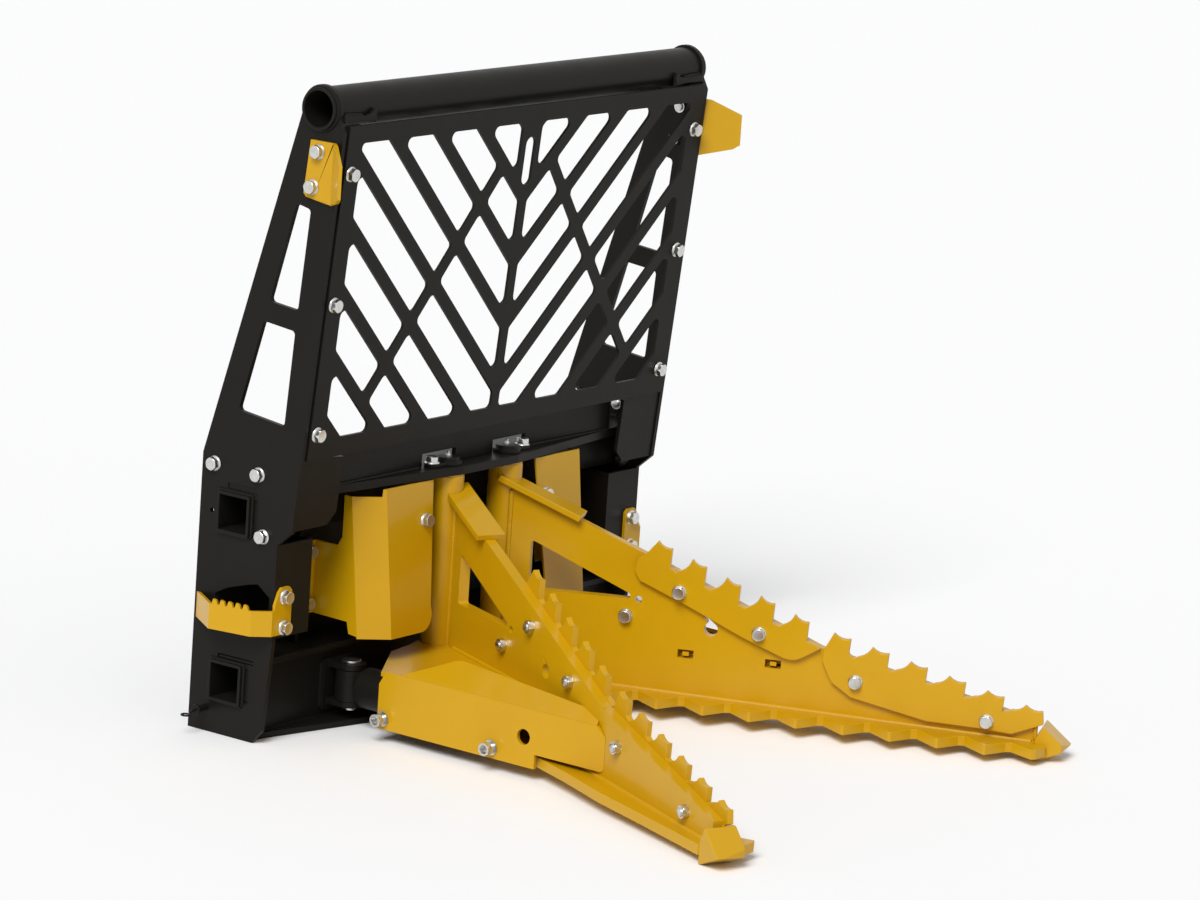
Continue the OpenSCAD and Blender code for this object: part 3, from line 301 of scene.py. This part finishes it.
root = 0.0005
bead = 0.0042
square = np.array([[-1, -1], [1, -1], [1, 1], [-1, 1], [-1, -1]])
angle = np.linspace(0, 2 * np.pi, 61)
circle = np.stack([np.cos(angle), np.sin(angle)], 1)
outer, inner = face("side_plate_right", 0, 1), face("side_plate_right", 0, 0)
floor_z, deck_z, shelf_z = (face(n, 2, 1) for n in ("base_plate", "lower_deck", "upper_pivot_plate"))
web_y, header_y = face("lower_web", 1, 0), face("header_plate", 1, 0)
clevis = [face("cylinder_clevis_right", 0, side) for side in (0, 1)]
tube_y, tube_z = face("lower_cross_tube", 1, 1), face("lower_cross_tube", 2, 1) - 2 * root
gusset_x, strip_y = 0.3885, face("corner_gussets", 1, 1)
# Tubes in the side plates, shelf and deck, webs and header, clevises, strips, gussets, and the rear
seams = both_sides([
    around("lower_cross_tube", outer, square), around("upper_cross_tube", outer, square),
    around("top_tube", outer, circle),
    [(inner, -0.05, shelf_z), (inner, 0.036, shelf_z)], [(inner, -0.04, deck_z), (inner, 0.036, deck_z)],
    [(0.13, web_y, floor_z), (0.545, web_y, floor_z)],
    [(0.17, header_y, shelf_z), (0.44, header_y, shelf_z)],
    *[[(x, web_y, 0.03), (x, web_y, 0.122)] for x in clevis],
    [(inner, strip_y, 1.203), (inner, strip_y, 1.216)], [(0.56, -0.1965, 1.2175), (0.505, -0.1965, 1.2135)],
    [(gusset_x, 0.0, deck_z), (gusset_x, 0.038, deck_z)], [(0.555, tube_y, tube_z), (0.02, tube_y, tube_z)]])
piece_of("carrier_welds", [rod_along(p, bead, scales=0.3) for p in seams], powder_coat,
         "frame")


# Yellow sheet metal on the carrier.
# Hose shields, steps and deflectors are bent from plate and painted in golden yellow gloss enamel.
# The wet paint flows out to a smooth skin, so it mirrors the studio softly.
enamel = coat("golden_yellow_enamel", "#CB9D09", "#C29207", roughness=0.30, peel=0.06, gloss=0.15,
              level=0.22)
softened(["shield_left", "shield_right", "step_left", "step_right", "deflector_left",
          "deflector_right"], "frame", enamel)


# Jaws.
# Rib, plates, blades and folded cover of each jaw are flame cut, welded and painted yellow as one.
# Their heavy plates keep a broader round on each edge than the sheet metal has.
for side in ("left", "right"):
    softened([n + "_" + side for n in (
        "jaw_tube", "jaw_rib", "gripping_plate", "jaw_top_plate", "jaw_flange",
        "cylinder_cover", "rear_blade", "front_blade", "jaw_nose")],
        side + "_jaw", enamel, width=0.0015)


# Weld beads of the jaws.
# Fillet beads join each rib to its pivot tube, gripping plate, top plate and nose, under the paint.
# A point on a jaw is given as s along its rib, p outward and z, in millimetres, as the plates are cut,
# while the pivot's place is in metres.
pivot = (0.093, -0.125)
open_angle = math.radians(24.8)
plate_rise = math.radians(1.05)
rib_front, rib_inner, rib_outer = 1092, -29, -5
tip_top = 35
jaw_bead = 0.0048


def on_jaw(points, sx):
    """Points [s, p, z] of a jaw in the shared frame: turned by its open angle about its pivot."""
    s, p, z = np.asarray(points, float).T / 1000
    return np.stack([sx * (pivot[0] + s * math.sin(open_angle) + p * math.cos(open_angle)),
                     pivot[1] - s * math.cos(open_angle) + p * math.sin(open_angle), z], 1)


def plate_top(s):
    """Height of the gripping plate's top at s: it rises evenly from the rib's front to the pivot."""
    return tip_top + (rib_front - s) * math.tan(plate_rise)


def along_rib(p, s0, z0, s1, z1):
    """A straight seam on the rib's inner or outer face, from s0 and height z0 to s1 and height z1."""
    return [(s0, p, z0), (s1, p, z1)]


# Gripping plate, then top plate from above and below, pivot tube, foot, and the sloping bar
under, over = 124, 134
jaw_seams = [along_rib(rib_inner, 40, plate_top(40), 1086, plate_top(1086)),
             along_rib(rib_outer, 40, plate_top(40), 1086, plate_top(1086)),
             along_rib(rib_outer, 60, over, 380, over), along_rib(rib_outer, 60, under, 560, under),
             along_rib(rib_outer, 410, over, 550, over), along_rib(rib_inner - 0.5, 22, 60, 22, 420),
             along_rib(rib_outer, 33.5, 60, 33.5, 420), along_rib(rib_inner, 1091, 40, 1091, 69),
             along_rib(rib_inner, 30, 424, 152, 376), along_rib(rib_outer, 36, 421, 152, 376)]
for side, sx in (("left", -1), ("right", 1)):
    piece_of("jaw_welds_" + side, [rod_along(on_jaw(p, sx), jaw_bead, scales=0.3) for p in jaw_seams],
             enamel, side + "_jaw")


# Fasteners.
# Hexagon flange bolts and nuts are cold formed and zinc plated: a bright, slightly streaked silver.
# Each stands where the source has a plain one, which gives its place, direction and length.
def plated(name, colour, dark, roughness):
    """Plated steel: metal whose colour and gloss vary in spots a few millimetres wide."""
    m = bpy.data.materials.new(name)
    m.use_nodes = True
    t = m.node_tree
    skin = t.nodes["Principled BSDF"]
    place = add(t, "ShaderNodeTexCoord").outputs["Object"]
    spots = add(t, "ShaderNodeTexNoise", {"Scale": 160.0, "Detail": 3.0}, Vector=place)
    tone = add(t, "ShaderNodeMix", {"data_type": "RGBA"}, Factor=spots.outputs["Fac"])
    tone.inputs[6].default_value = linear(colour)
    tone.inputs[7].default_value = linear(dark)
    t.links.new(tone.outputs[2], skin.inputs["Base Color"])
    rough = add(t, "ShaderNodeMapRange", {"To Min": roughness - 0.08, "To Max": roughness + 0.1},
                Value=spots.outputs["Fac"])
    t.links.new(rough.outputs[0], skin.inputs["Roughness"])
    skin.inputs["Metallic"].default_value = 1.0
    return m


zinc = plated("zinc_plating", "#E2E2DF", "#B4B4B0", 0.30)


def outline(rows):
    """Heights, radii and shares of hexagon of the rings of a turned shape, from rows in millimetres."""
    z, r, hexed = np.array(rows, float).T
    return z / 1000, r / 1000, hexed


def turned(z, r, hexed, centre, axis, turn=0.0, sides=48):
    """A turned or six-sided shape: rings at heights z with radius r about an axis. Where hexed is 1 a
    ring's radius at an angle is that of a hexagon with the corner radius r, and never more than r."""
    axis = np.asarray(axis, float) / np.linalg.norm(axis)
    side = np.cross(axis, [0, 0, 1.0] if abs(axis[2]) < 0.9 else [1.0, 0, 0])
    side /= np.linalg.norm(side)
    front = np.cross(axis, side)
    v = np.arange(sides) * 2 * np.pi / sides
    flat = math.cos(math.pi / 6) / np.cos((v + turn) % (math.pi / 3) - math.pi / 6)
    z, r, hexed = (np.asarray(k, float)[:, None] for k in (z, r, hexed))
    radius = r * (1 + hexed * (flat[None] - 1))
    return sheet_of(np.asarray(centre)[None, None] + axis * z[..., None]
                    + side * (radius * np.cos(v))[..., None] + front * (radius * np.sin(v))[..., None])


def loose_parts(mesh):
    """The separate solids of a mesh: its points, with the lowest point number of each one's solid."""
    points = np.empty(len(mesh.vertices) * 3)
    mesh.vertices.foreach_get("co", points)
    edges = np.empty(len(mesh.edges) * 2, int)
    mesh.edges.foreach_get("vertices", edges)
    edges = edges.reshape(-1, 2)
    label = np.arange(len(mesh.vertices))
    while True:
        low = label[edges].min(1)
        before = label.copy()
        np.minimum.at(label, edges[:, 0], low)
        np.minimum.at(label, edges[:, 1], low)
        if (label == before).all():
            return points.reshape(-1, 3), label


# From the seat up: a coned flange, the six-sided body, its chamfer and a shallow dish
head = outline([(-0.2, 0.1, 0), (0, 14.8, 0), (0.6, 15.0, 0), (1.8, 14.3, 0), (3.2, 13.1, 0),
                (3.3, 13.4, 1), (10.8, 13.4, 1), (12.4, 12.4, 0.35), (13.0, 11.2, 0), (12.7, 9.8, 0),
                (12.7, 0.02, 0)])
# From the nut's foot down: two chamfers with the six-sided body between them
nut = outline([(0, 0.1, 0), (0, 12.4, 0), (-1.2, 13.6, 1), (-10.8, 13.6, 1), (-12.0, 12.2, 0)])
# The bolt's threaded end past the nut: crests and roots in turn, and a small point
crest, thread_root = 0.0080, 0.0074
thread = [0.0084, crest, thread_root, crest, thread_root, crest, thread_root, crest, 0.0068]
nut_height, overlap = 0.012, 0.001
# How a plain bolt is read, in metres: its widest rim, its flange and head, and a nut's corners
rim_band = 0.0004
thickest_flange, thinnest_head, seated_flange = 0.010, 0.005, 0.003
nut_corner = (0.0125, 0.0142)


def bolt_places(own, axis):
    """The axis of a plain bolt, pointing out of its head, and the places of its head's seat, its nut's
    foot and its end along it. The widest rim is the flange, and a nut's corners are narrower."""
    along = own @ axis
    off = np.linalg.norm(own - np.outer(along, axis), axis=1)
    at_rim = off > off.max() - rim_band
    rim = along[at_rim]
    if abs(along.max() - rim.max()) > abs(rim.min() - along.min()):
        axis, along, rim = -axis, -along, -rim
    seat = rim.min() if rim.max() - rim.min() < thickest_flange else rim.max() - seated_flange
    if along.max() - rim.max() < thinnest_head:
        axis, along = -axis, -along
        seat = along[at_rim].min()
    corners = along[(off > nut_corner[0]) & (off < nut_corner[1]) & (along < seat - overlap)]
    return axis, seat, corners.max() if len(corners) else None, along.min()


def flange_bolts(node, body):
    """A formed flange bolt in place of each plain one of a CAD node: a hexagon head on a coned flange,
    a shank, and where the plain one has a nut, a chamfered nut with the threaded end past it."""
    mesh = merged(node)
    points, label = loose_parts(mesh)
    face_of = np.array([p.vertices[0] for p in mesh.polygons])
    area = np.array([p.area for p in mesh.polygons])
    normal = np.array([p.normal[:] for p in mesh.polygons])
    middle = np.array([p.center[:] for p in mesh.polygons])
    shells = []
    for i, part in enumerate(np.unique(label)):
        faces = np.flatnonzero(label[face_of] == part)
        largest = faces[np.argmax(area[faces])]
        centre = middle[largest]
        axis, seat, foot, end = bolt_places(points[label == part] - centre, normal[largest])
        # Each head and nut stands at an angle of its own, as the wrench left it
        shells.append(turned(seat + head[0], head[1], head[2], centre, axis, i * 0.7))
        if foot is not None:
            z = np.concatenate([foot + nut[0], np.linspace(foot - nut_height, end, len(thread)), [end]])
            r = np.concatenate([nut[1], thread, [0.0001]])
            hexed = np.concatenate([nut[2], np.zeros(len(thread) + 1)])
            shells.append(turned(z[::-1], r[::-1], hexed[::-1], centre, axis, i * 1.3))
        low, high = (end if foot is None else foot - overlap), seat + overlap
        shells.append(turned([low, low, high, high], [0.0001, crest, crest, 0.0001], [0] * 4, centre, axis,
                             sides=24))
    piece = piece_of(node + "_formed", shells, zinc, body, sharp=28)
    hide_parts(node)


flange_bolts("guard_bolts", "frame")
flange_bolts("frame_bolts", "frame")
for side in ("left", "right"):
    flange_bolts("jaw_bolts_" + side, side + "_jaw")
    softened(["rod_pin_" + side], side + "_jaw", zinc)
softened(["base_pins"], "frame", zinc)


# Latch pin and lock wire.
# The pin at the left plate's rear foot is coated black with the carrier. A thin spring wire of drawn
# steel, coated like the pin, hangs from it and ends in a ring.
softened(["latch_pin"], "frame", powder_coat)
ring_centre = np.array([-0.632, 0.049, 0.0405])
ring_radius = 0.008
angle = np.linspace(0, 2 * np.pi, 33)
ring = ring_centre + ring_radius * np.stack([np.cos(angle), np.sin(angle), 0 * angle], 1)
wire = [(-0.600, 0.049, 0.046), (-0.606, 0.049, 0.0455), (-0.616, 0.049, 0.0435),
        (-0.624, 0.049, 0.0408)]
piece_of("lock_wire", [rod_along(wire, 0.0021, step=0.003), rod_along(ring, 0.0019, step=0.0015)],
         powder_coat, "frame")


# Grease nipples.
# A zinc plated nipple is screwed into the head of each pivot pin: a six-sided foot, a slim neck and
# the round button that the grease gun grips.
nipple = outline([(0, 0.1, 0), (0, 6.2, 1), (4.0, 6.2, 1), (4.2, 3.8, 0), (7.5, 3.4, 0), (8.0, 2.2, 0),
                  (9.5, 3.3, 0), (10.5, 3.4, 0), (11.5, 2.2, 0), (12.0, 0.1, 0)])
nipple_foot = round(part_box("pivot_pin_right")[1][2], 4) - 0.001
piece_of("grease_nipples", [turned(*nipple, (sx * pivot[0], pivot[1], nipple_foot), (0, 0, 1), 0.4 + sx)
                            for sx in (-1, 1)], zinc, "frame", sharp=28)


# Bushes and cylinders.
# Bronze bushes run on the pivot pins, and each cylinder is a black barrel with a hard chromed rod.
# The plating is ground and polished, so it mirrors, and the bronze shows the lathe's dull satin.
bronze = plated("bearing_bronze", "#B08A4A", "#9C783C", 0.4)
chrome = plated("hard_chrome", "#E6E6E8", "#DADBDD", 0.14)
# A hexagon plug closes each port boss, and the wiper's lip stands around the rod where it leaves
plug = outline([(0, 0.1, 0), (0, 11.5, 0), (2, 11.5, 0), (2, 10.5, 1), (9, 10.5, 1), (10.5, 9.2, 0),
                (10.5, 0.1, 0)])
lip = outline([(0, 19.6, 0), (0, 28.5, 0), (4, 28.0, 0), (6, 22.5, 0), (6, 19.6, 0)])
base_pin = (0.318, -0.095)
# How far the two port bosses stand in front of the base pin
ports = (0.064, 0.230)
for side, sx in (("left", -1), ("right", 1)):
    softened(["jaw_bushings_" + side], side + "_jaw", bronze, width=0.0005)
    softened(["barrel_" + side], side + "_barrel", powder_coat)
    softened(["piston_rod_" + side], side + "_rod", chrome)
    low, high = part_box("barrel_" + side)
    inner_x = low[0] if sx > 0 else high[0]
    axis_z = (low[2] + high[2]) / 2
    shells = [turned(*plug, (inner_x, base_pin[1] - port, axis_z), (-sx, 0, 0), port * 9) for port in ports]
    shells.append(turned(*lip, (sx * base_pin[0], low[1], axis_z), (0, -1, 0)))
    piece_of("cylinder_fittings_" + side, shells, zinc, side + "_barrel", sharp=28)
